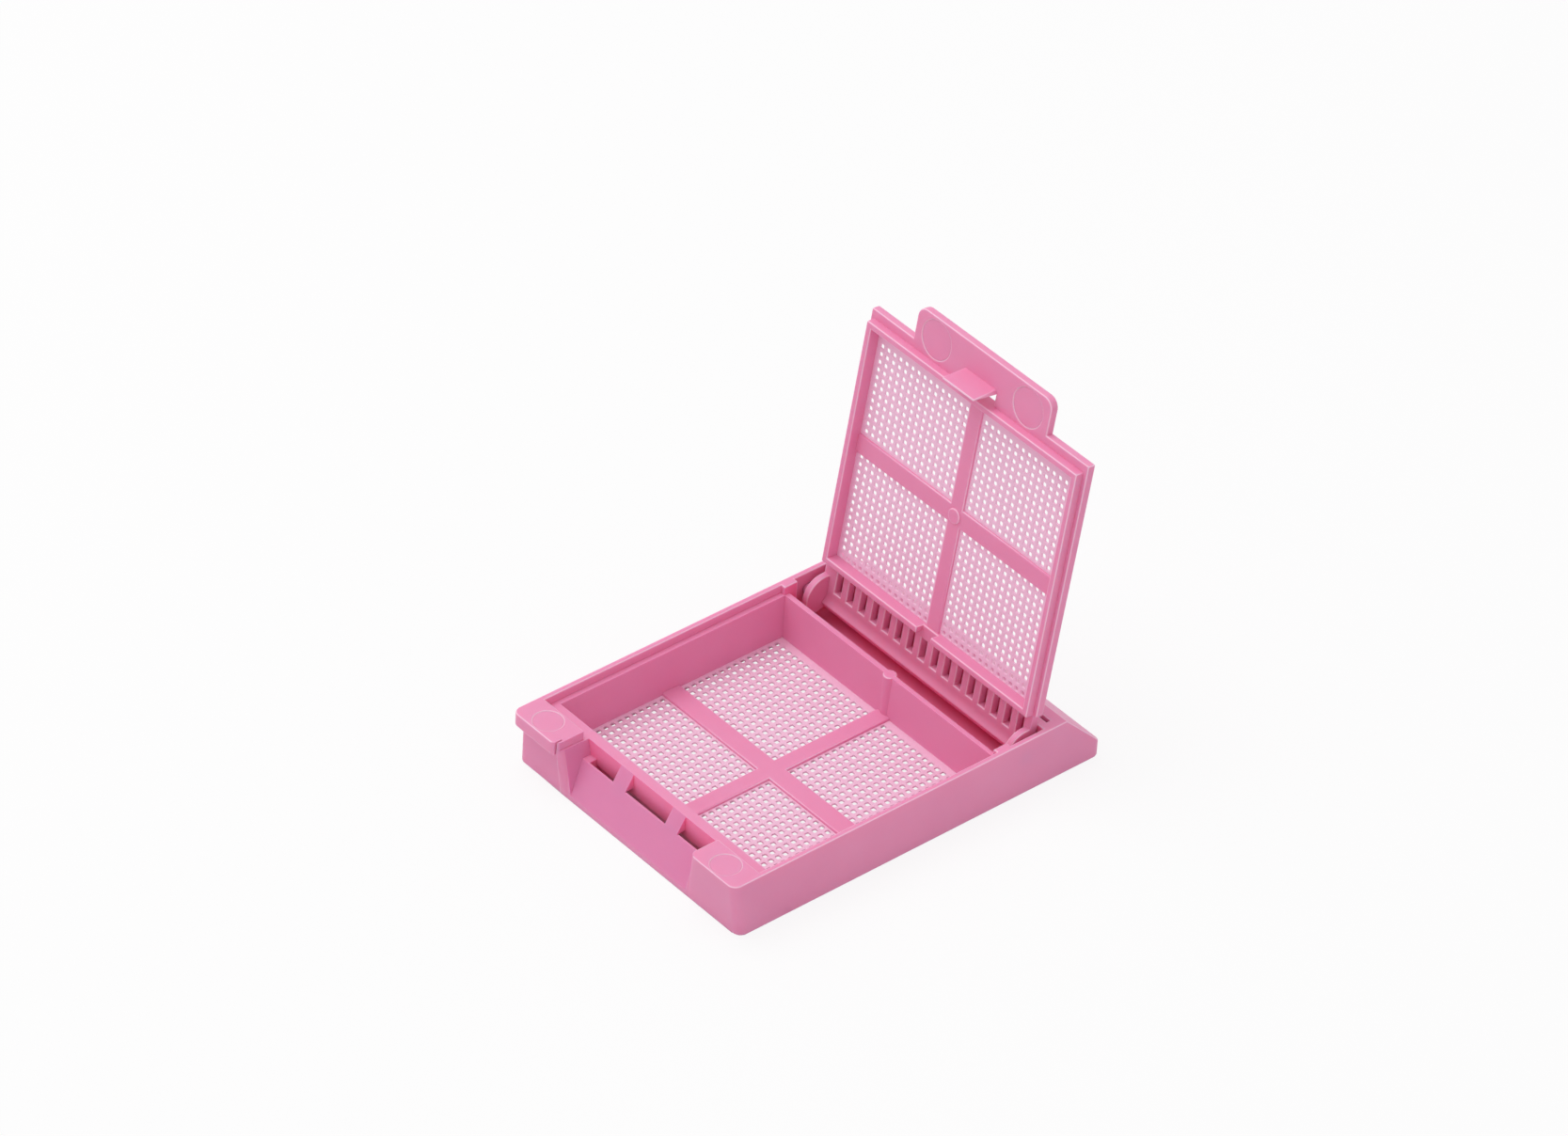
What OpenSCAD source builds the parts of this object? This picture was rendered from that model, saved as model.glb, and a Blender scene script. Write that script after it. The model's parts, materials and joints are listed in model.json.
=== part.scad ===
// Tissue cassette: a shallow moulded tray with a perforated floor and a perforated lid that
// turns on two short pins at the writing end and hooks over the front wall of the tray.
// The lid stands open. X runs from the latch end (-) to the writing end (+), Y across, Z up.
// The origin is on the bench under the middle of the tray.

/* [Tray] */
// Length of the tray where it stands on the bench
base_length = 39.4; // [38.8:0.1:46]
// Width of the tray
base_width = 28.6; // [26:0.1:34]
// Height of the rim above the bench
base_height = 5.6; // [5.3:0.1:8]
// Radius of the upright corners in plan
corner_radius = 0.8; // [0.3:0.1:1.2]
// Thickness of the long walls below the ledge that carries the lid
side_wall = 1.0; // [0.9:0.05:1.6]
// Thickness of the thin rim that surrounds the lid
rim_wall = 0.5; // [0.4:0.05:0.7]
// How far the foot of each wall of the well comes in from its top edge
wall_draft = 0.2; // [0.05:0.05:0.5]
// Length of the well that holds the tissue, measured at its top edge
well_length = 24.35; // [20:0.05:25]
// Distance from the front of the tray to the top edge of the well
front_depth = 3.5; // [3.3:0.05:4.2]
// Thickness of the wall that the lid hooks over
front_wall = 0.95; // [0.8:0.05:1.2]
// Thickness of the wall between the well and the hinge trough
back_wall = 0.5; // [0.4:0.05:0.9]
// Thickness of the perforated floor
floor_thickness = 0.5; // [0.4:0.05:1]
// Thickness of the solid floor under the hinge trough
trough_floor = 0.8; // [0.5:0.05:1.2]
// Radius of the post on the middle of the back wall
post_radius = 0.6; // [0.3:0.05:0.6]

/* [Mesh] */
// Pitch of the square holes, which each window divides evenly
mesh_pitch = 2.0; // [1.9:0.1:4]
// Side of each square hole
mesh_hole = 1.0; // [0.4:0.1:1.4]
// Height of the cross ribs over the mesh of the floor
rib_height = 0.25; // [0.1:0.05:0.5]
// Width of the rib along the middle of the tray
long_rib = 1.6; // [1:0.1:3]
// Width of the rib across the tray
cross_rib = 1.9; // [1:0.1:3]
// Distance from the front wall of the well to the middle of the cross rib
cross_rib_place = 11.95; // [9:0.05:14]
// Plain border of the floor at the latch end
front_border = 1.6; // [0.5:0.1:3]
// Plain border of the floor at the hinge end
back_border = 0.5; // [0.3:0.1:2]
// Plain border of the floor and the lid along the long sides
side_border = 0.2; // [0.1:0.1:1]
// Thickness of the perforated windows of the tray and the lid
window_thickness = 0.22; // [0.15:0.01:0.35]

/* [Latch end] */
// How far the pads stand out past the foot of the tray
pad_overhang = 0.9; // [0.5:0.05:1.2]
// Distance from the front of the tray to the back edge of the pads
pad_depth = 2.2; // [2:0.05:2.5]
// Thickness of the lip on the stepped pad
lip_thickness = 1.3; // [1:0.05:2]
// Distance from the middle of the tray to the groove beside the lip
lip_groove = 8.75; // [8.7:0.05:10]
// Width of that groove
groove_width = 0.15; // [0.1:0.05:0.4]
// Distance between the pads at the top
recess_top = 17.2; // [14:0.1:19]
// Distance between the pads at the bottom
recess_bottom = 14.6; // [12:0.1:14.6]
// Height of the upright band under the slanted face
band_height = 0.55; // [0.3:0.05:1]
// Height of the lower edge of the three notches
notch_height = 3.3; // [2.9:0.05:3.6]
// Width of the middle notch, which the hook enters
middle_notch = 5.1; // [4.8:0.1:5.6]
// Distance from the middle of the tray to the inner edge of each outer notch
side_notch = 4.15; // [3.6:0.05:5]
// Height of the edge that the hook snaps under
catch_height = 2.6; // [2.4:0.05:3]
// Depth of the undercut below the catch
catch_depth = 0.35; // [0.1:0.05:0.45]
// Thickness of the slanted face at the lower edge of the notches
slant_edge = 0.15; // [0.1:0.05:0.3]
// Thickness of the slanted face at the bench
slant_foot = 1.0; // [0.6:0.05:1.3]
// Wall left round the hollow under each pad
core_wall = 0.9; // [0.7:0.05:1.2]
// Radius of the round marks that the moulding pins leave
mark_radius = 1.3; // [0.8:0.1:1.5]
// Depth of the round marks
mark_depth = 0.05; // [0.02:0.01:0.1]

/* [Writing end] */
// Slope of the face that is written on, from the bench
slope_angle = 45; // [42:1:55]
// Height of the upright nose under the slope
nose_height = 1.4; // [1:0.1:2]
// Thickness of the hollow walls round the writing end
shell_wall = 0.8; // [0.6:0.05:1.1]
// Distance from the middle of the tray to each stiffening rib under the slope
rib_place = 4.5; // [3:0.1:10]
// Thickness of the stiffening ribs
rib_thickness = 0.7; // [0.5:0.05:1.2]
// Length across the tray of the two slits in the land
slit_length = 0.95; // [0.5:0.05:2]
// Width of the slits
slit_width = 0.4; // [0.2:0.05:0.6]

/* [Hinge] */
// How far the lid opens from closed
open_angle = 98; // [92:0.5:105]
// Inner radius of the curl that runs round the hinge line
curl_radius = 1.0; // [0.9:0.05:1.4]
// Angle of the curl past the end of the flat plate
curl_angle = 54; // [20:1:60]
// Radius of the hinge pins
pin_radius = 0.5; // [0.4:0.05:0.6]
// Radial clearance of the pins in their sockets
pin_clearance = 0.05; // [0.02:0.01:0.1]
// Skin left outside each socket
socket_skin = 0.2; // [0.15:0.01:0.25]
// Gap between the end of a pin and the bottom of its socket
pin_end_gap = 0.05; // [0.02:0.01:0.1]
// Thickness of the two ears
ear_thickness = 0.65; // [0.4:0.05:1]
// Radius of the rounded ears
ear_radius = 2.0; // [1.8:0.05:2.2]
// How far the middle of the ear's round lies outside the hinge line, along the lid
ear_shift = 0.2; // [0:0.05:0.4]
// How far the middle of the ear's round lies from the hinge line, towards the plate
ear_rise = 0.83; // [0.6:0.01:1]
// How much less the ears reach from the hinge line than the curl
ear_relief = 0.05; // [0.03:0.01:0.2]
// Gap between the back wall and the ears of the closed lid
trough_gap = 0.7; // [0.2:0.05:0.8]
// Thickness of the side walls where they narrow in front of the ears
cheek_wall = 0.95; // [0.85:0.05:1.2]
// Length of those thick stretches of the side walls
cheek_length = 1.45; // [1:0.05:1.6]

/* [Lid] */
// Thickness of the plate of the lid
plate_thickness = 0.8; // [0.6:0.05:1]
// How far the windows of the lid lie behind the side of the plate that faces the tray
window_depth = 0.35; // [0.2:0.05:0.4]
// Height of the cross bars of the lid over its windows
bar_height = 0.2; // [0.1:0.05:0.3]
// Width of the bar along the middle of the lid
long_bar = 1.5; // [1:0.1:3]
// Width of the bar across the lid
cross_bar = 1.8; // [1:0.1:3]
// Width of the frame that enters the well
frame_width = 0.6; // [0.5:0.05:1]
// Depth of the frame below the plate
frame_depth = 0.8; // [0.5:0.05:1.6]
// Plain border of the lid at the latch end, between its frame and the mesh
lid_border = 1.2; // [0.5:0.1:3]
// How far the free edge of the plate reaches over the front wall
plate_reach = 0.68; // [0.2:0.01:0.8]
// Radius of the round boss where the bars cross
boss_radius = 0.7; // [0.4:0.05:0.8]
// Number of slots of the comb
comb_slots = 16; // [8:1:16]
// Pitch of the slots
comb_pitch = 1.54; // [1.2:0.01:1.54]
// Width of a slot
comb_slot = 0.75; // [0.4:0.05:0.9]
// Length of a slot
comb_length = 2.0; // [1:0.05:2.1]
// Solid strip between the slots and the curl
comb_strip = 0.5; // [0.4:0.05:0.8]
// How far the middle of the comb lies to one side of the middle of the lid
comb_shift = 0.29; // [0:0.01:0.3]
// Length of the finger tab past the free edge of the plate
tab_length = 3.25; // [2.8:0.05:3.9]
// Radius of the corners of the finger tab
tab_radius = 1.0; // [0.3:0.1:1.2]
// Radius of the round marks of the moulding pins on the tab
tab_mark_radius = 1.75; // [1:0.05:1.8]
// Distance from the middle of the lid to each mark on the tab
tab_mark_place = 5.7; // [5:0.1:6]
// Width of the hook
hook_width = 3.9; // [3:0.1:4.2]
// Thickness of the hook at its root
hook_thickness = 0.45; // [0.35:0.05:0.5]
// Thickness of the hook at its tip
hook_tip = 0.2; // [0.15:0.05:0.4]
// How far the hook reaches below the plate
hook_depth = 2.5; // [2:0.05:2.8]

/* [Fits] */
// Gap round the edge of the plate and the finger tab
lid_gap = 0.3; // [0.2:0.01:0.35]
// Gap between the frame of the lid and the sides and back of the well
frame_gap = 0.22; // [0.15:0.01:0.4]
// Gap between the frame of the lid and the front of the well
latch_gap = 0.12; // [0.1:0.01:0.5]
// Gap between the neck of the lid and the thick stretches of the side walls
neck_gap = 0.2; // [0.1:0.01:0.3]
// Gap under the plate on its ledge, and at the stop of the open lid
seat_gap = 0.02; // [0.01:0.01:0.1]
// Gap between the hook and the front wall
hook_gap = 0.05; // [0.03:0.01:0.1]

/* [Hidden] */
$fn = 48;
// Overlap of cuts past the faces that they open, and the smallest such overlap
cut = 1;
skin = 0.01;
pink = [0.93, 0.60, 0.76];

// Places along the tray
front_x = -base_length / 2;
back_x = base_length / 2;
well_x0 = front_x + front_depth;
well_x1 = well_x0 + well_length;
wall_x = well_x0 - front_wall;
pad_x = front_x + pad_depth;
tip_x = front_x - pad_overhang;
trough_x0 = well_x1 + back_wall;
hinge_x = trough_x0 + trough_gap + ear_radius - ear_shift;
slope_x = back_x - (base_height - nose_height) / tan(slope_angle);

// Heights and the hinge line
curl_outer = curl_radius + plate_thickness;
hinge_z = base_height - curl_outer;
plate_z = base_height - plate_thickness;
ledge_z = plate_z - seat_gap;
lean = open_angle - 90;
land_x = hinge_x + (curl_outer + seat_gap) / cos(lean) + curl_outer * tan(lean);

// Half widths
rim_y = base_width / 2 - rim_wall;
well_y = base_width / 2 - side_wall;
cheek_y = base_width / 2 - cheek_wall;
flange_y = rim_y - lid_gap;
neck_y = cheek_y - neck_gap;
frame_y = well_y - frame_gap;
tab_y = recess_top / 2 - lid_gap;

// Ends of the frame and of the plate, as they lie when the lid is closed
frame_x0 = well_x0 + latch_gap;
frame_x1 = well_x1 - frame_gap;
flange_x = well_x0 - plate_reach;
bar_x = (frame_x0 + frame_x1) / 2;

// Edges of the perforated part of the floor
mesh_x0 = well_x0 + wall_draft + front_border;
mesh_x1 = well_x1 - wall_draft - back_border;
mesh_y = well_y - wall_draft - side_border;
cheek_x = frame_x1 + neck_gap;
cross_x = well_x0 + cross_rib_place;

// A block with upright rounded corners, from x0 to x1 and y0 to y1
module slab(x0, x1, y0, y1, z0, z1, r) {
    translate([(x0 + x1) / 2, (y0 + y1) / 2, z0])
        linear_extrude(z1 - z0)
            offset(r)
                square([x1 - x0 - 2 * r, y1 - y0 - 2 * r], center = true);
}

// A plain box between two corners
module box(x0, x1, y0, y1, z0, z1) {
    translate([x0, y0, z0])
        cube([x1 - x0, y1 - y0, z1 - z0]);
}

// A profile drawn in X and Z, carried across the tray from y0 to y1
module across(y0, y1) {
    translate([0, y1, 0])
        rotate([90, 0, 0])
            linear_extrude(y1 - y0)
                children();
}

// The same thing on both long sides
module both_sides() {
    children();
    mirror([0, 1, 0])
        children();
}

// Square holes that fill one window evenly
module holes(x0, x1, y0, y1, z0, z1) {
    across_count = max(1, round((y1 - y0) / mesh_pitch));
    along_count = max(1, round((x1 - x0) / mesh_pitch));
    step_x = (x1 - x0) / along_count;
    step_y = (y1 - y0) / across_count;
    for (i = [0:along_count - 1], j = [0:across_count - 1])
        translate([x0 + (i + 0.5) * step_x, y0 + (j + 0.5) * step_y, (z0 + z1) / 2])
            cube([mesh_hole, mesh_hole, z1 - z0], center = true);
}

// The four windows that a cross of two ribs leaves free, as plain blocks
module windows(x0, x1, rib_x, y, cross_width, long_width, z0, z1) {
    both_sides() {
        box(x0, rib_x - cross_width / 2, long_width / 2, y, z0, z1);
        box(rib_x + cross_width / 2, x1, long_width / 2, y, z0, z1);
    }
}

// The holes of those four windows
module window_holes(x0, x1, rib_x, y, cross_width, long_width, z0, z1) {
    both_sides() {
        holes(x0, rib_x - cross_width / 2, long_width / 2, y, z0, z1);
        holes(rib_x + cross_width / 2, x1, long_width / 2, y, z0, z1);
    }
}

// The well, whose four walls lean in towards its floor
module well() {
    middle = (well_x0 + well_x1) / 2;
    intersection() {
        across(-well_y, well_y)
            polygon([
                [well_x0 + wall_draft, floor_thickness],
                [well_x1 - wall_draft, floor_thickness],
                [well_x1, ledge_z],
                [well_x1, base_height + cut],
                [well_x0, base_height + cut],
                [well_x0, ledge_z],
            ]);
        translate([well_x0, 0, 0])
            rotate([90, 0, 90])
                linear_extrude(well_length)
                    polygon([
                        [-well_y + wall_draft, floor_thickness],
                        [well_y - wall_draft, floor_thickness],
                        [well_y, ledge_z],
                        [well_y, base_height + cut],
                        [-well_y, base_height + cut],
                        [-well_y, ledge_z],
                    ]);
    }
}

// Cross ribs that stiffen the floor of the well
module floor_ribs() {
    top = floor_thickness + rib_height;
    box(well_x0, well_x1, -long_rib / 2, long_rib / 2, 0, top);
    box(cross_x - cross_rib / 2, cross_x + cross_rib / 2, -well_y, well_y, 0, top);
}

// Room for the plate of the closed lid inside the rim, and for its tab between the pads
module lid_recess() {
    top = base_height + cut;
    box(pad_x, cheek_x, -rim_y, rim_y, ledge_z, top);
    box(cheek_x - cut, trough_x0 + cut, -cheek_y, cheek_y, ledge_z, top);
    box(tip_x - cut, pad_x + cut, -recess_top / 2, recess_top / 2, ledge_z, top);
}

// The hinge trough, with the side walls thinned beside the ears
module trough() {
    top = base_height + cut;
    box(trough_x0, land_x, -cheek_y, cheek_y, trough_floor, top);
    box(cheek_x + cheek_length, land_x, -rim_y, rim_y, trough_floor, top);
}

// Blind sockets for the hinge pins
module sockets() {
    reach = base_width / 2 - socket_skin;
    translate([hinge_x, reach, hinge_z])
        rotate([90, 0, 0])
            cylinder(r = pin_radius + pin_clearance, h = 2 * reach);
}

// One pad at the latch end, with a front face that leans out from its foot
module pad(y0_foot, y0_top) {
    hull() {
        slab(front_x, pad_x, y0_foot, base_width / 2, 0, skin, corner_radius);
        slab(tip_x, pad_x, y0_top, base_width / 2, base_height - skin, base_height, corner_radius);
    }
}

// The pad whose lip stands out over an upright face, with a groove between lip and corner
module stepped_pad() {
    intersection() {
        pad(recess_bottom / 2, recess_top / 2);
        box(tip_x, pad_x, 0, lip_groove, 0, base_height);
    }
    intersection() {
        slab(
            tip_x, pad_x, recess_top / 2, base_width / 2,
            base_height - lip_thickness, base_height, corner_radius
        );
        box(tip_x, pad_x, lip_groove + groove_width, base_width / 2, 0, base_height);
    }
}

// The three notches in the top of the slanted face; the outer two reach the sides of the recess
module notches() {
    both_sides()
        box(tip_x, wall_x, side_notch, base_width / 2, notch_height, base_height + cut);
    box(tip_x, wall_x, -middle_notch / 2, middle_notch / 2, notch_height, base_height + cut);
}

// The recess between the pads, whose floor is the slanted face and whose sides lean
module front_recess() {
    top = base_height + cut;
    flare = (recess_top - recess_bottom) / 2 / base_height;
    half_foot = recess_bottom / 2;
    half_top = half_foot + flare * top;
    intersection() {
        union() {
            across(-base_width, base_width)
                polygon([
                    [wall_x, ledge_z],
                    [front_x, band_height],
                    [tip_x - cut, band_height],
                    [tip_x - cut, top],
                    [wall_x, top],
                ]);
            notches();
        }
        translate([tip_x - 2 * cut, 0, 0])
            rotate([90, 0, 90])
                linear_extrude(front_depth + pad_overhang + 2 * cut)
                    polygon([
                        [-half_foot, 0],
                        [half_foot, 0],
                        [half_top, top],
                        [-half_top, top],
                    ]);
    }
}

// The hollow behind the slanted face, open to the bench, with the undercut of the catch
module front_hollow() {
    slant = (wall_x - front_x) / (ledge_z - band_height);
    edge_x = front_x + (notch_height - band_height) * slant + slant_edge;
    half = recess_bottom / 2;
    across(-half, half)
        polygon([
            [front_x + slant_foot, -cut],
            [front_x + slant_foot, 0],
            [edge_x, notch_height + skin],
            [wall_x, notch_height + skin],
            [wall_x, -cut],
        ]);
    box(wall_x - cut / 4, wall_x + catch_depth, -half, half, -cut, catch_height);
}

// The hollow under each pad, open to the bench
module pad_hollow() {
    box(
        front_x + core_wall, wall_x,
        recess_top / 2 + core_wall / 2, well_y - wall_draft,
        -cut, ledge_z - core_wall
    );
}

// The hollow under the writing slope, with two ribs left standing
module slope_hollow() {
    inset = shell_wall / sin(slope_angle);
    inner_top = base_height - shell_wall;
    x0 = land_x + shell_wall;
    x1 = back_x - shell_wall;
    slope_end = slope_x - inset + shell_wall / tan(slope_angle);
    nose = inner_top - (x1 - slope_end) * tan(slope_angle);
    difference() {
        across(-well_y, well_y)
            polygon([
                [x0, -cut],
                [x1, -cut],
                [x1, nose],
                [slope_end, inner_top],
                [x0, inner_top],
            ]);
        both_sides()
            box(x0 - cut, x1 + cut, rib_place - rib_thickness / 2, rib_place + rib_thickness / 2, 0, base_height);
    }
}

// Everything in front of the writing slope
module slope_cut() {
    across(-base_width, base_width)
        polygon([
            [slope_x, base_height],
            [back_x, nose_height],
            [back_x + cut, nose_height],
            [back_x + cut, base_height + cut],
            [slope_x, base_height + cut],
        ]);
}

// Two slits through the land, just behind the wall of the trough
module land_slits() {
    both_sides()
        box(
            land_x + shell_wall, land_x + shell_wall + slit_width,
            well_y - slit_length, well_y,
            base_height - shell_wall - cut / 4, base_height + cut
        );
}

// Round marks of the moulding pins on the pads
module pad_marks() {
    both_sides()
        translate([(tip_x + pad_x) / 2, (recess_top + base_width) / 4, base_height - mark_depth])
            cylinder(r = mark_radius, h = cut);
}

// Post that stiffens the middle of the back wall
module back_post() {
    translate([well_x1 + back_wall / 2, 0, 0])
        cylinder(r = post_radius, h = ledge_z);
}

// The tray: one moulding
module base() {
    color(pink)
        difference() {
            union() {
                difference() {
                    union() {
                        slab(front_x, back_x, -base_width / 2, base_width / 2, 0, base_height, corner_radius);
                        mirror([0, 1, 0])
                            pad(recess_bottom / 2, recess_top / 2);
                        stepped_pad();
                    }
                    well();
                    lid_recess();
                    trough();
                    front_recess();
                    slope_cut();
                }
                floor_ribs();
                back_post();
            }
            front_hollow();
            both_sides()
                pad_hollow();
            slope_hollow();
            land_slits();
            sockets();
            pad_marks();
            windows(
                mesh_x0, mesh_x1, cross_x, mesh_y, cross_rib, long_rib,
                -cut, floor_thickness - window_thickness
            );
            window_holes(
                mesh_x0, mesh_x1, cross_x, mesh_y, cross_rib, long_rib,
                0, floor_thickness + rib_height / 2
            );
        }
}

// The flat plate of the lid with its narrow neck and its finger tab
module lid_plate() {
    box(flange_x, frame_x1, -flange_y, flange_y, plate_z, base_height);
    box(frame_x1 - cut, hinge_x, -neck_y, neck_y, plate_z, base_height);
    slab(
        flange_x - tab_length, flange_x + 2 * tab_radius, -tab_y, tab_y,
        plate_z, base_height, tab_radius
    );
}

// The frame that drops into the well, open in the middle of its hinge end for the post
module lid_frame() {
    bottom = plate_z - frame_depth;
    difference() {
        box(frame_x0, frame_x1, -frame_y, frame_y, bottom, base_height);
        box(
            frame_x0 + frame_width, frame_x1 - frame_width,
            -frame_y + frame_width, frame_y - frame_width,
            bottom - cut, base_height + cut
        );
        box(
            frame_x1 - frame_width - cut, frame_x1 + cut,
            -1.5 * post_radius, 1.5 * post_radius,
            bottom - cut, plate_z
        );
    }
}

// Room over the windows on both sides of the plate, between the frame and the bars
module window_recess() {
    x0 = frame_x0 + frame_width;
    x1 = frame_x1 - frame_width;
    y = frame_y - frame_width;
    inner = plate_z + window_depth;
    windows(x0, x1, bar_x, y, cross_bar, long_bar, plate_z - cut, inner);
    windows(x0, x1, bar_x, y, cross_bar, long_bar, inner + window_thickness, base_height + cut);
    box(x0, x1, -y, y, plate_z - cut, inner - bar_height);
}

// Section of the curl round the hinge line, from the end of the plate down to its free edge
module curl_section() {
    reach = 2 * curl_outer;
    difference() {
        intersection() {
            circle(r = curl_outer);
            polygon([
                [0, 0],
                [0, reach],
                [reach, reach],
                reach * [sin(curl_angle), cos(curl_angle)],
            ]);
        }
        circle(r = curl_radius);
    }
}

// Section of an ear: a rounded cheek under the plate, kept inside the sweep of the curl
module ear_section() {
    intersection() {
        translate([ear_shift, ear_rise])
            circle(r = ear_radius);
        union() {
            circle(r = curl_outer - ear_relief);
            translate([-2 * ear_radius, -ear_radius])
                square([2 * ear_radius, ear_radius + curl_outer]);
        }
    }
}

// The curl, between the two ears
module lid_curl() {
    half = neck_y - ear_thickness;
    translate([hinge_x, half, hinge_z])
        rotate([90, 0, 0])
            linear_extrude(2 * half)
                curl_section();
}

// One ear with its pin
module ear() {
    translate([hinge_x, neck_y, hinge_z])
        rotate([90, 0, 0])
            linear_extrude(ear_thickness)
                ear_section();
    pin_end = base_width / 2 - socket_skin - pin_end_gap;
    translate([hinge_x, pin_end, hinge_z])
        rotate([90, 0, 0])
            cylinder(r = pin_radius, h = pin_end - neck_y + ear_thickness / 2);
}

// Slots of the comb beside the hinge
module comb() {
    end_x = hinge_x - comb_strip;
    first_y = -comb_shift - (comb_slots - 1) / 2 * comb_pitch - comb_slot / 2;
    for (i = [0:comb_slots - 1])
        box(
            end_x - comb_length, end_x,
            first_y + i * comb_pitch, first_y + i * comb_pitch + comb_slot,
            plate_z - cut, base_height + cut
        );
}

// The hook that passes outside the front wall
module hook() {
    face = wall_x - hook_gap;
    across(-hook_width / 2, hook_width / 2)
        polygon([
            [face, base_height - mark_depth],
            [face, plate_z - hook_depth],
            [face - hook_tip, plate_z - hook_depth],
            [face - hook_thickness, plate_z],
            [face - hook_thickness, base_height - mark_depth],
        ]);
}

// Slot through the plate between the hook and the frame
module hook_slot() {
    face = wall_x - hook_gap;
    box(face, frame_x0, -hook_width / 2, hook_width / 2, plate_z - cut, base_height + cut);
}

// Round marks of the moulding pins under the tab, between the frame and the end of the tab
module tab_marks() {
    both_sides()
        translate([(frame_x0 + flange_x - tab_length) / 2, tab_mark_place, plate_z - cut])
            cylinder(r = tab_mark_radius, h = cut + mark_depth);
}

// Round boss where the bars cross
module boss() {
    translate([bar_x, 0, plate_z])
        cylinder(r = boss_radius, h = plate_thickness);
}

// The lid: one moulding, drawn closed and then turned open about the hinge line
module lid() {
    color(pink)
        translate([hinge_x, 0, hinge_z])
            rotate([0, open_angle, 0])
                translate([-hinge_x, 0, -hinge_z])
                    difference() {
                        union() {
                            difference() {
                                lid_plate();
                                window_recess();
                                comb();
                                hook_slot();
                                tab_marks();
                            }
                            lid_frame();
                            lid_curl();
                            both_sides()
                                ear();
                            hook();
                            boss();
                        }
                        window_holes(
                            frame_x0 + frame_width + lid_border, frame_x1 - frame_width,
                            bar_x, frame_y - frame_width - side_border, cross_bar, long_bar,
                            plate_z + window_depth - bar_height / 2, base_height
                        );
                    }
}

base();
lid();
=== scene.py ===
import json
import math

import bmesh
import bpy
from mathutils import Matrix, Vector


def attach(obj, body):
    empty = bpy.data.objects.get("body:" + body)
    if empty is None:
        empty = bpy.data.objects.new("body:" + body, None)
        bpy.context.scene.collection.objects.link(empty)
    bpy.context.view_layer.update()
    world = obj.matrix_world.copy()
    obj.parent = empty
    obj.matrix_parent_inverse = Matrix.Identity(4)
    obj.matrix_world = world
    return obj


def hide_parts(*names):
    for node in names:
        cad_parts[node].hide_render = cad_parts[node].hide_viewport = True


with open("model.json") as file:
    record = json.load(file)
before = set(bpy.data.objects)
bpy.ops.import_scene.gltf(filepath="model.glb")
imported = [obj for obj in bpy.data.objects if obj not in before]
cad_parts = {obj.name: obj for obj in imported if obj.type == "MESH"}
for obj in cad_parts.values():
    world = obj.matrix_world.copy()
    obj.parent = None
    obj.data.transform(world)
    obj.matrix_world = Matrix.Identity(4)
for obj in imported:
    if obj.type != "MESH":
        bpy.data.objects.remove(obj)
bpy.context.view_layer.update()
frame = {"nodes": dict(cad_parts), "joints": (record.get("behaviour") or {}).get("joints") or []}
MM = 0.001


# ---- The plastic ---------------------------------------------------------------------------
# Both pieces are acetal (POM) with a pink pigment, injected into a finely spark-eroded steel
# mould. That gives the eye a satin face without a clear reflection, and a fine even grain.
# Light soaks a little way in; the tints below paint more of it in: paler thin parts, a painted
# highlight on the edges, and a deeper, redder painted bounce in the cavities.

ACETAL_IOR = 1.48
GRAIN_SIZE = 0.16 * MM
GRAIN_DEPTH = 0.012 * MM
GRAIN_STRENGTH = 0.35
FLOW_SIZE = 5.0 * MM
ROUGHNESS = (0.44, 0.56)
SOAK_DEPTH = 0.45 * MM
SOAK_GREEN, SOAK_BLUE = 0.8, 0.85

# A mix node keeps its two colours and their mixture in these sockets.
COLOUR_A, COLOUR_B, COLOUR_OUT = 6, 7, 2


def srgb(code):
    """A colour written as a hex value, as the linear colour that a shader takes."""
    parts = [int(code[i:i + 2], 16) / 255 for i in (1, 3, 5)]
    return [p / 12.92 if p <= 0.04045 else ((p + 0.055) / 1.055) ** 2.4 for p in parts] + [1]


def add_node(tree, kind, settings=None, links=None):
    """Adds a node to a tree, sets its sockets or properties, and wires what it takes in."""
    node = tree.nodes.new(kind)
    for name, value in (settings or {}).items():
        if isinstance(name, int) or name in node.inputs:
            node.inputs[name].default_value = value
        else:
            setattr(node, name, value)
    for name, socket in (links or {}).items():
        tree.links.new(socket, node.inputs[name])
    return node


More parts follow.
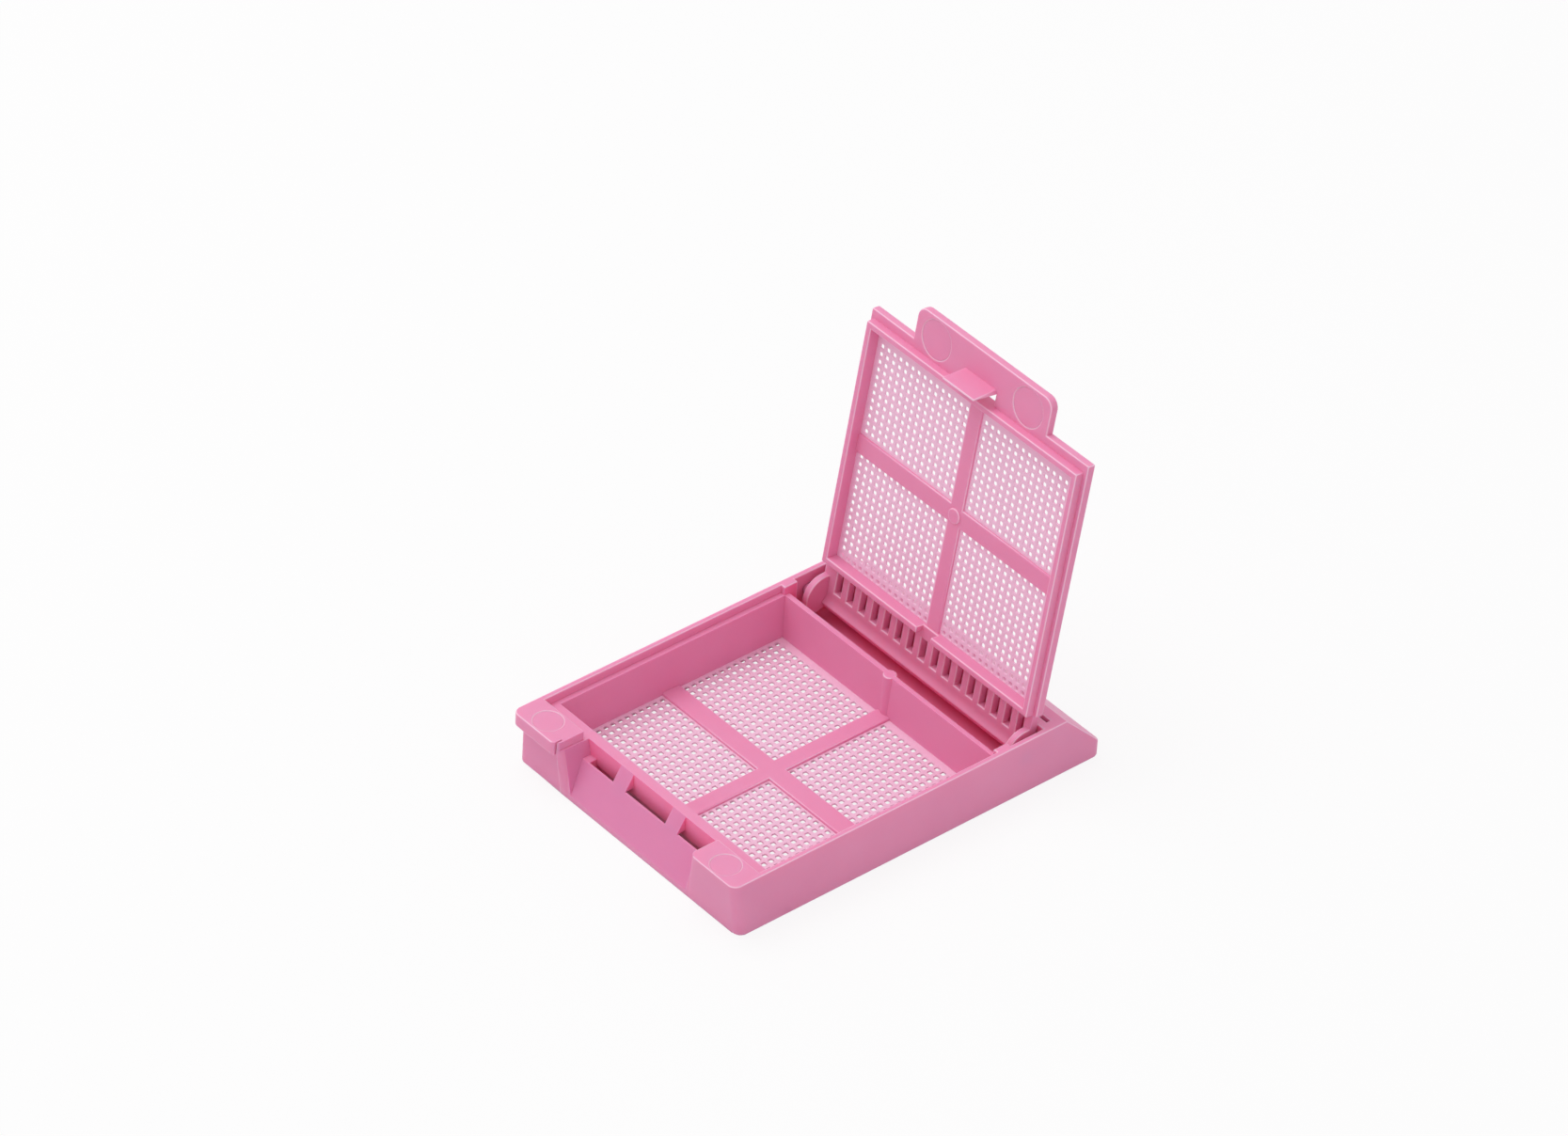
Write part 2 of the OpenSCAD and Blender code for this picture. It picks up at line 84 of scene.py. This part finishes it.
def moulded_acetal(name, light, deep, edge, through, red_reach):
    """Acetal between two close shades, with a painted highlight in a third one along its rounded
    edges.
    """
    material = bpy.data.materials.new(name)
    material.use_nodes = True
    tree = material.node_tree
    tree.nodes.clear()
    place = add_node(tree, "ShaderNodeTexCoord")
    in_mm = add_node(
        tree, "ShaderNodeMapping", {"Scale": (1 / MM, 1 / MM, 1 / MM)},
        {"Vector": place.outputs["Object"]},
    )
    flow = add_node(
        tree, "ShaderNodeTexNoise", {"Scale": MM / FLOW_SIZE, "Detail": 3, "Roughness": 0.6},
        {"Vector": in_mm.outputs["Vector"]},
    )
    shade = add_node(
        tree, "ShaderNodeMix",
        {"data_type": "RGBA", COLOUR_A: srgb(light), COLOUR_B: srgb(deep)},
        {"Factor": flow.outputs["Fac"]},
    )
    # The rounded edges take the paler edge colour: a painted highlight.
    rounding = add_node(tree, "ShaderNodeAttribute", {"attribute_name": "edge_highlight_share"})
    edge_highlighted = add_node(
        tree, "ShaderNodeMix", {"data_type": "RGBA", COLOUR_B: srgb(edge)},
        {"Factor": rounding.outputs["Fac"], COLOUR_A: shade.outputs[COLOUR_OUT]},
    )
    grain = add_node(
        tree, "ShaderNodeTexNoise", {"Scale": MM / GRAIN_SIZE, "Detail": 2, "Roughness": 0.5},
        {"Vector": in_mm.outputs["Vector"]},
    )
    gloss = add_node(
        tree, "ShaderNodeMapRange", {"To Min": ROUGHNESS[0], "To Max": ROUGHNESS[1]},
        {"Value": flow.outputs["Fac"]},
    )
    bump = add_node(
        tree, "ShaderNodeBump", {"Strength": GRAIN_STRENGTH, "Distance": GRAIN_DEPTH},
        {"Height": grain.outputs["Fac"]},
    )
    plastic = add_node(
        tree, "ShaderNodeBsdfPrincipled",
        {
            "IOR": ACETAL_IOR, "Subsurface Weight": through, "Subsurface Scale": SOAK_DEPTH,
            "Subsurface Radius": (red_reach, SOAK_GREEN, SOAK_BLUE),
        },
        {
            "Base Color": edge_highlighted.outputs[COLOUR_OUT], "Roughness": gloss.outputs["Result"],
            "Normal": bump.outputs["Normal"],
        },
    )
    add_node(tree, "ShaderNodeOutputMaterial", {}, {"Surface": plastic.outputs["BSDF"]})
    return material


# One plastic in five tints, four of them painted light that a renderer follows only in part: its
# own colour on the thick walls, a painted paleness of light passing through in the mesh and the
# sides of its holes, a painted redder bounce in the trough and the notches, whose walls throw
# light at each other, and painted shade on the front panel.
# The thick walls: the plastic's own colour, with a painted highlight on the edges.
solid_acetal = moulded_acetal("solid_acetal", "#EF98BF", "#EB91B9", "#FFD0E4", 0.55, 1.4)
# The mesh: painted light, paler as if lit through from behind.
thin_painted_light_acetal = moulded_acetal("thin_painted_light_acetal", "#F9C9E1", "#F7C3DD", "#FFD2E6", 0.3, 1.0)
# The sides of the holes: painted light, lifted out of the shade they lie in.
hole_side_painted_light_acetal = moulded_acetal("hole_side_painted_light_acetal", "#FCC6E1", "#FBC0DC", "#FCC6E1", 0.3, 1.0)
# The trough and notches: painted bounce light, redder where walls throw light at each other.
painted_bounce_acetal = moulded_acetal("painted_bounce_acetal", "#FF86B4", "#FF80AE", "#FBB0D0", 0.55, 1.4)
# The slanting front panel: painted shade, darker than the plain walls.
panel_painted_shade_acetal = moulded_acetal("panel_painted_shade_acetal", "#E88CB8", "#E184B1", "#FFD0E4", 0.55, 1.4)
TINTS = (solid_acetal, thin_painted_light_acetal, hole_side_painted_light_acetal, painted_bounce_acetal, panel_painted_shade_acetal)
SOLID, THIN_PAINTED_LIGHT, HOLE_SIDE_PAINTED_LIGHT, PAINTED_BOUNCE, PANEL_PAINTED_SHADE = range(len(TINTS))


# ---- The skin of a moulding ----------------------------------------------------------------
# Both pieces are injection mouldings of acetal, and each outer edge comes off the steel with
# a small round, which catches the light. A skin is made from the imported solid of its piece.

EDGE_ROUND = 0.12 * MM
SHARP_ANGLE = math.radians(22)
FLAT_ANGLE = math.radians(0.6)
ROUNDED = math.cos(math.radians(5))
ROUNDING_TRIES = 12
SKIPPED_ROUND_SPOT = 1.6 * EDGE_ROUND
WELD = 0.0005 * MM
HAIR = 0.015 * MM

# Rounding has spoilt a many-sided face that should still be flat if a corner is this far off
# its plane, if it folds over by this area, or if two sides cross within this share of them.
MANY_CORNERS = 5
STILL_FLAT = 0.9
OFF_PLANE = 0.02 * MM
FOLD = 0.01 * MM * MM
WITHIN_SIDE = (0.001, 0.999)


def merged_copy(node, levels):
    """The solid of a node as one closed skin, with what lies a hair off a level put on it."""
    shell = bmesh.new()
    shell.from_mesh(frame["nodes"][node].data)
    for vert in shell.verts:
        for level in levels:
            if abs(vert.co.z - level) < HAIR:
                vert.co.z = level
    bmesh.ops.remove_doubles(shell, verts=shell.verts, dist=WELD)
    return shell


def join_flats(shell):
    """Joins the triangles of each flat face, so that only real edges are left."""
    bmesh.ops.dissolve_limit(
        shell, angle_limit=FLAT_ANGLE, verts=shell.verts, edges=shell.edges,
        use_dissolve_boundaries=False, delimit=set(),
    )


def between(value, limits):
    """Whether a value lies within two limits."""
    return limits[0] < value < limits[1]


def in_plane(face, spot):
    """A point of a face, as two distances measured in the plane of the face."""
    across = face.normal.orthogonal().normalized()
    return Vector((spot.dot(across), spot.dot(face.normal.cross(across))))


def crossings(face):
    """The points where two sides of the outline of a face cross."""
    corners = [(in_plane(face, vert.co), vert.co) for vert in face.verts]
    sides = list(zip(corners, corners[1:] + corners[:1]))
    spots = []
    for i, ((a, start), (b, end)) in enumerate(sides):
        for (c, _), (d, _) in sides[i + 2:len(sides) - (i == 0)]:
            turn = (b - a).cross(d - c)
            if abs(turn) > WELD * WELD:
                shares = ((c - a).cross(d - c) / turn, (c - a).cross(b - a) / turn)
                if all(between(share, WITHIN_SIDE) for share in shares):
                    spots.append(start.lerp(end, shares[0]))
    return spots


def folds(shell):
    """A corner of each triangle that lies folded over its many-sided face."""
    spots = []
    for loops in shell.calc_loop_triangles():
        face, corners = loops[0].face, [loop.vert.co for loop in loops]
        a, b, c = corners
        if len(face.verts) >= MANY_CORNERS and (b - a).cross(c - a).dot(face.normal) < -FOLD:
            nearest = min(corners, key=lambda spot: min(
                (spot - other).length for other in corners if other is not spot
            ))
            spots.append(nearest.copy())
    return spots


def trouble_spots(shell, planes, mark):
    """Where rounding has pulled a flat face out of its plane, or made it cross or fold."""
    spots = folds(shell)
    for face in shell.faces:
        normal, height = planes[face[mark]]
        if len(face.verts) >= MANY_CORNERS and face.normal.dot(normal) >= STILL_FLAT:
            spots += crossings(face)
            spots += [
                vert.co.copy() for vert in face.verts
                if abs(vert.co.dot(normal) - height) > OFF_PLANE
            ]
    return spots


def distance_to(edge, spot):
    """How far a point is from an edge."""
    start, end = (vert.co for vert in edge.verts)
    share = (spot - start).dot(end - start) / max((end - start).length_squared, WELD * WELD)
    return (start.lerp(end, max(0, min(1, share))) - spot).length


def round_edges(shell):
    """Rounds the sharp outer edges as the mould does, but for those without room for it."""
    mark = shell.faces.layers.int.new("plane")
    planes = []
    for face in shell.faces:
        face[mark] = len(planes)
        planes.append((face.normal.copy(), face.verts[0].co.dot(face.normal)))
    skipped = []
    for _ in range(ROUNDING_TRIES):
        trial = shell.copy()
        sharp = [
            edge for edge in trial.edges
            if edge.is_manifold and edge.is_convex and edge.calc_face_angle() > SHARP_ANGLE
            and not any(distance_to(edge, spot) < SKIPPED_ROUND_SPOT for spot in skipped)
        ]
        bmesh.ops.bevel(
            trial, geom=sharp, offset=EDGE_ROUND, offset_type="OFFSET", segments=2,
            profile=0.5, affect="EDGES", clamp_overlap=False, material=-1,
        )
        trial.normal_update()
        spots = trouble_spots(trial, planes, trial.faces.layers.int["plane"])
        if not spots:
            break
        skipped += spots
    # Corners on the rounded edges are marked here for the painted edge highlight of the tints.
    mark, share = trial.faces.layers.int["plane"], trial.verts.layers.float.new("edge_highlight_share")
    for vert in trial.verts:
        vert[share] = all(
            face.normal.dot(planes[face[mark]][0]) < ROUNDED for face in vert.link_faces
        )
    return trial


def moulding(name, shell, node, body):
    """Makes a finished skin the shown piece of a node, in its tints of acetal."""
    mesh = bpy.data.meshes.new(name)
    shell.to_mesh(mesh)
    shell.free()
    for tint in TINTS:
        mesh.materials.append(tint)
    piece = bpy.data.objects.new(name, mesh)
    bpy.context.scene.collection.objects.link(piece)
    even = piece.modifiers.new("even_normals", "WEIGHTED_NORMAL")
    even.keep_sharp = True
    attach(piece, body)
    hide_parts(node)


# ---- The mesh windows ----------------------------------------------------------------------
# Each piece has four thin recessed windows of acetal with fine square holes, left by pins in
# the mould that are rounded at their corners and taper, so that they draw out of the plastic.

HOLE_PITCH = 0.764 * MM
HOLE = 0.4 * MM
HOLE_TAPER = 0.035 * MM
HOLE_DEPTH = 0.14 * MM
HOLE_ROUND = 0.1 * MM
WINDOW_MARGIN = 0.1 * MM
LYING = 0.5


def span(first, count, margin):
    """Where a row of holes starts and ends, with a margin beyond its outer holes."""
    reach = HOLE / 2 + margin
    return first - reach, first + (count - 1) * HOLE_PITCH + reach


def cut_window(shell, x_span, y_span, z_span):
    """Takes the coarse skin of one window out of both faces of its wall."""
    for axis, places in enumerate((x_span, y_span)):
        for place in places:
            at, across = Vector((0, 0, 0)), Vector((0, 0, 0))
            at[axis], across[axis] = place, 1
            bmesh.ops.bisect_plane(
                shell, geom=shell.verts[:] + shell.edges[:] + shell.faces[:],
                plane_co=at, plane_no=across, dist=WELD / 2,
            )
    inside = []
    for face in shell.faces:
        x, y, z = face.calc_center_median()
        in_wall = between(z, (min(z_span) - HAIR, max(z_span) + HAIR))
        if between(x, x_span) and between(y, y_span) and in_wall:
            inside.append(face)
    bmesh.ops.delete(shell, geom=inside, context="FACES")


def at_level(vert, level):
    """Whether a corner lies at a height."""
    return abs(vert.co.z - level) < WELD


def open_edges(shell, level):
    """The edges at a height that have a face on one side only."""
    return [
        edge for edge in shell.edges
        if edge.is_boundary and all(at_level(vert, level) for vert in edge.verts)
    ]


def pull_out(shell, extruded, height):
    """Moves what an extrusion has made up or down, and gives its corners."""
    verts = [item for item in extruded["geom"] if isinstance(item, bmesh.types.BMVert)]
    bmesh.ops.translate(shell, vec=(0, 0, height), verts=verts)
    return verts


def lay_sheet(shell, firsts, counts, borders, level):
    """Lays one face of a window, with a square gap for each hole."""
    cells = [2 * count + 1 for count in counts]
    made = bmesh.ops.create_grid(shell, x_segments=cells[0], y_segments=cells[1], size=1)["verts"]
    sheet, gaps = [], []
    for face in {face for vert in made for face in vert.link_faces}:
        centre = face.calc_center_median()
        is_gap = all(int((centre[axis] + 1) / 2 * cells[axis]) % 2 for axis in (0, 1))
        (gaps if is_gap else sheet).append(face)
    bmesh.ops.delete(shell, geom=gaps, context="FACES_ONLY")
    for vert in made:
        for axis in (0, 1):
            line = round((vert.co[axis] + 1) / 2 * cells[axis])
            hole, side = divmod(line - 1, 2)
            place = firsts[axis] + hole * HOLE_PITCH + (side - 0.5) * HOLE
            vert.co[axis] = max(borders[axis][0], min(borders[axis][1], place))
        vert.co.z = level
    return sheet


def let_in_holes(shell, firsts, counts, z_span):
    """Lets the real square holes into one window, wider at its shown face than behind it."""
    wide, rear = z_span
    narrow = wide + math.copysign(HOLE_DEPTH, rear - wide)
    borders = [
        span(first, count, WINDOW_MARGIN / 2) for first, count in zip(firsts, counts)
    ]
    sheet = lay_sheet(shell, firsts, counts, borders, wide)
    copied = bmesh.ops.extrude_face_region(shell, geom=sheet, use_keep_orig=True)
    behind = pull_out(shell, copied, narrow - wide)
    outside = []
    for face in {face for vert in behind for face in vert.link_faces}:
        centre = face.calc_center_median()
        if any(abs(centre[axis] - place) < WELD for axis in (0, 1) for place in borders[axis]):
            outside.append(face)
    bmesh.ops.delete(shell, geom=outside, context="FACES")
    stepped = bmesh.ops.extrude_edge_only(shell, edges=open_edges(shell, narrow))
    pull_out(shell, stepped, rear - narrow)
    corners = [
        edge for vert in behind if vert.is_valid for edge in vert.link_edges
        if edge.is_manifold and at_level(edge.other_vert(vert), wide)
    ]
    sides = bmesh.ops.bevel(
        shell, geom=corners, offset=HOLE_ROUND, offset_type="OFFSET", segments=2, profile=0.5,
        affect="EDGES", clamp_overlap=False, material=-1,
    )["faces"]
    rims = {
        vert for face in sides for corner in face.verts for edge in corner.link_edges
        for vert in edge.verts if at_level(vert, wide)
    }
    for vert in rims:
        for axis, first in enumerate(firsts):
            centre = first + round((vert.co[axis] - first) / HOLE_PITCH) * HOLE_PITCH
            off = vert.co[axis] - centre
            if abs(off) < HOLE / 2 + WELD:
                vert.co[axis] = centre + off * (1 + 2 * HOLE_TAPER / HOLE)


def close_windows(shell, z_span):
    """Joins each sheet of holes to the wall round it, on both faces."""
    for level in z_span:
        bmesh.ops.triangle_fill(
            shell, use_beauty=True, use_dissolve=False, edges=open_edges(shell, level),
        )
    bmesh.ops.recalc_face_normals(shell, faces=shell.faces)


def fit_windows(shell, windows, y_first, columns, z_span):
    """Changes the four coarse windows of a wall for the real ones, and rounds the edges."""
    y_firsts = (y_first, -y_first - (columns - 1) * HOLE_PITCH)
    places = [
        ((x_first, side_first), (rows, columns))
        for x_first, rows in windows for side_first in y_firsts
    ]
    for firsts, counts in places:
        spans = [span(first, count, WINDOW_MARGIN) for first, count in zip(firsts, counts)]
        cut_window(shell, *spans, z_span)
    join_flats(shell)
    shell = round_edges(shell)
    walls = set(shell.faces)
    for firsts, counts in places:
        let_in_holes(shell, firsts, counts, z_span)
    close_windows(shell, z_span)
    # Flat faces of the sheets take the painted pale light, the sides of the holes their own
    # painted light.
    for face in shell.faces:
        if face in walls:
            thin = all(any(at_level(vert, level) for level in z_span) for vert in face.verts)
            face.material_index = THIN_PAINTED_LIGHT if thin else SOLID
        else:
            face.material_index = THIN_PAINTED_LIGHT if abs(face.normal.z) > LYING else HOLE_SIDE_PAINTED_LIGHT
        face.smooth = True
    for edge in shell.edges:
        edge.smooth = not edge.is_manifold or edge.calc_face_angle() < SHARP_ANGLE
    return shell


# ---- The tray ------------------------------------------------------------------------------
# The real tray is one shot of pink acetal: a shallow box with four windows of fine square
# holes in its floor, moulded in one go with the pads, the hinge trough and the writing slope.

# The shown face of the mesh comes first and its rear face second. Each pair of windows has
# its first row of holes at an X, and a number of rows.
TRAY_HEIGHT = 5.6 * MM
TRAY_SHEET = (0.5 * MM, 0.28 * MM)
TRAY_FIRST_COLUMN = 1.16 * MM
TRAY_COLUMNS = 16
TRAY_WINDOWS = [
    (-2.92 * MM, 14),
    (-13.99 * MM, 12),
]

# Where the painted bounce light and the painted shade lie. A slope is the upward share of a
# face's normal.
TROUGH_X = (8.6 * MM, 13.3 * MM)
TROUGH_HALF_WIDTH = 13.4 * MM
TROUGH_TOP = 4.4 * MM
NOTCH_X = (-18.1 * MM, -17.0 * MM)
NOTCH_Z = (0.05 * MM, 4.5 * MM)
NOTCH_HALF_WIDTH = 8.0 * MM
NOTCH_SLOPE = 0.4
PANEL_X = -17.5 * MM
PANEL_FOOT = 0.6 * MM
PANEL_HALF_WIDTH = 8.5 * MM
PANEL_SLOPE = (0.2, 0.7)


def in_trough(x, y, z):
    """Whether a place is in the trough that the hinge turns in."""
    return between(x, TROUGH_X) and abs(y) < TROUGH_HALF_WIDTH and z < TROUGH_TOP


def in_notch(x, y, z, slope):
    """Whether a face is a side of a notch in the front wall."""
    within = between(x, NOTCH_X) and abs(y) < NOTCH_HALF_WIDTH and between(z, NOTCH_Z)
    return within and slope < NOTCH_SLOPE


def on_panel(x, y, z, slope):
    """Whether a face is part of the slanting panel under the notches."""
    within = x < PANEL_X and abs(y) < PANEL_HALF_WIDTH and z > PANEL_FOOT
    return within and between(slope, PANEL_SLOPE)


tray = merged_copy("base", (0, TRAY_HEIGHT))
tray = fit_windows(tray, TRAY_WINDOWS, TRAY_FIRST_COLUMN, TRAY_COLUMNS, TRAY_SHEET)
# The trough and notches take the painted redder bounce light, the slanting panel painted shade.
for face in tray.faces:
    x, y, z = face.calc_center_median()
    if in_trough(x, y, z) or in_notch(x, y, z, face.normal.z):
        face.material_index = PAINTED_BOUNCE
    elif on_panel(x, y, z, face.normal.z):
        face.material_index = PANEL_PAINTED_SHADE
moulding("tray", tray, "base", "base")


# ---- The lid -------------------------------------------------------------------------------
# The lid is a second moulding of the same acetal: a thin plate with four windows, a frame
# that drops into the tray, a comb beside the hinge, a finger tab and the hook. Its hole
# pattern is laid out on the closed lid, and the finished lid is then turned open.

LID_OPEN = math.radians(98)
LID_SHEET = (5.15 * MM, 5.37 * MM)
LID_FIRST_COLUMN = 1.19 * MM
LID_COLUMNS = 15
LID_WINDOWS = [
    (-2.9 * MM, 14),
    (-13.85 * MM, 12),
]


def turn_lid(shell, angle):
    """Turns a skin about the lid's hinge."""
    hinge = Vector(frame["joints"][0]["pos_m"])
    bmesh.ops.rotate(
        shell, cent=hinge, matrix=Matrix.Rotation(angle, 3, "Y"), verts=shell.verts,
    )


lid = merged_copy("lid", ())
turn_lid(lid, -LID_OPEN)
lid = fit_windows(lid, LID_WINDOWS, LID_FIRST_COLUMN, LID_COLUMNS, LID_SHEET)
turn_lid(lid, LID_OPEN)
moulding("lid_cover", lid, "lid", "lid")

# The solids under the skins aren't shown, and take the same plastic.
for node in frame["nodes"].values():
    node.data.materials.clear()
    node.data.materials.append(solid_acetal)


# ---- Table and room ------------------------------------------------------------------------
# A plain white painted table under an even white sky. The table shows nearly white to the
# camera and keeps a faint shadow of the cassette. Only what is seen or mirrored glows.

SKY = 0.66
TABLE_GLOW = 0.86
TABLE_HALF_WIDTH = 1.5
TABLE_DROP = 0.02 * MM


def in_view(tree):
    """1 where the camera sees a surface itself, or in a gloss or through a clear body."""
    ray = add_node(tree, "ShaderNodeLightPath")
    shown = ray.outputs["Is Camera Ray"]
    for kind in ("Is Glossy Ray", "Is Transmission Ray"):
        shown = add_node(
            tree, "ShaderNodeMath", {"operation": "MAXIMUM"}, {0: shown, 1: ray.outputs[kind]},
        ).outputs[0]
    return shown


table_paint = bpy.data.materials.new("table_paint")
table_paint.use_nodes = True
tree = table_paint.node_tree
tree.nodes.clear()
glow_share = add_node(
    tree, "ShaderNodeMapRange", {"To Min": 0.0, "To Max": TABLE_GLOW}, {"Value": in_view(tree)},
)
matt = add_node(tree, "ShaderNodeBsdfDiffuse", {"Color": srgb("#F4F2F3")})
glow = add_node(tree, "ShaderNodeEmission", {"Color": srgb("#FFFFFF"), "Strength": 1.0})
mixed = add_node(
    tree, "ShaderNodeMixShader", {},
    {0: glow_share.outputs[0], 1: matt.outputs[0], 2: glow.outputs[0]},
)
add_node(tree, "ShaderNodeOutputMaterial", {}, {"Surface": mixed.outputs[0]})

table = bmesh.new()
bmesh.ops.create_grid(table, x_segments=1, y_segments=1, size=TABLE_HALF_WIDTH)
bmesh.ops.translate(table, vec=(0, 0, -TABLE_DROP), verts=table.verts)
table_mesh = bpy.data.meshes.new("table")
table.to_mesh(table_mesh)
table.free()
table_mesh.materials.append(table_paint)
table_piece = bpy.data.objects.new("table", table_mesh)
bpy.context.scene.collection.objects.link(table_piece)

world = bpy.data.worlds.new("white_room")
world.use_nodes = True
bpy.context.scene.world = world
tree = world.node_tree
tree.nodes.clear()
level = add_node(
    tree, "ShaderNodeMapRange", {"To Min": SKY, "To Max": 1.0}, {"Value": in_view(tree)},
)
sky = add_node(
    tree, "ShaderNodeBackground", {"Color": srgb("#FFFFFF")},
    {"Strength": level.outputs["Result"]},
)
add_node(tree, "ShaderNodeOutputWorld", {}, {"Surface": sky.outputs[0]})


# ---- Lamp and camera -----------------------------------------------------------------------
# One large soft lamp hangs nearly overhead, a little towards the latch and the far side. The
# camera looks down through a long lens from beyond the near corner of the latch end.

LAMP_DISTANCE = 0.5
LAMP_SIZE = 0.35
LAMP_LIGHT = 0.38
LAMP_SIDE = Vector((-0.2, 0.35, 1.0)).normalized()

lamp_data = bpy.data.lights.new("soft_lamp", "AREA")
lamp_data.size = LAMP_SIZE
lamp_data.energy = LAMP_LIGHT * (math.pi * LAMP_DISTANCE) ** 2
lamp = bpy.data.objects.new("soft_lamp", lamp_data)
lamp.matrix_world = (
    Matrix.Translation(LAMP_SIDE * LAMP_DISTANCE)
    @ LAMP_SIDE.to_track_quat("Z", "Y").to_matrix().to_4x4()
)
bpy.context.scene.collection.objects.link(lamp)

CAMERA_TURN = math.radians(-42.413)
CAMERA_RISE = math.radians(38.101)
CAMERA_ROLL = math.radians(3.682)
CAMERA_DISTANCE = 0.719
CAMERA_OFFSET = (0.002183, -0.015682)
CAMERA_LENS = 198.27
CAMERA_SENSOR = 36
CAMERA_FAR = 20

back = Vector((
    math.sin(CAMERA_TURN) * math.cos(CAMERA_RISE),
    -math.cos(CAMERA_TURN) * math.cos(CAMERA_RISE),
    math.sin(CAMERA_RISE),
))
level_right = Vector((math.cos(CAMERA_TURN), math.sin(CAMERA_TURN), 0))
right = Matrix.Rotation(CAMERA_ROLL, 3, back) @ level_right
up = back.cross(right)
camera_data = bpy.data.cameras.new("camera")
camera_data.lens = CAMERA_LENS
camera_data.sensor_width = CAMERA_SENSOR
camera_data.clip_end = CAMERA_FAR
camera = bpy.data.objects.new("camera", camera_data)
turn = Matrix((right, up, back)).transposed()
place = back * CAMERA_DISTANCE - right * CAMERA_OFFSET[0] - up * CAMERA_OFFSET[1]
camera.matrix_world = Matrix.Translation(place) @ turn.to_4x4()
bpy.context.scene.collection.objects.link(camera)
bpy.context.scene.camera = camera
bpy.context.scene.view_settings.view_transform = "Standard"

bpy.context.view_layer.update()
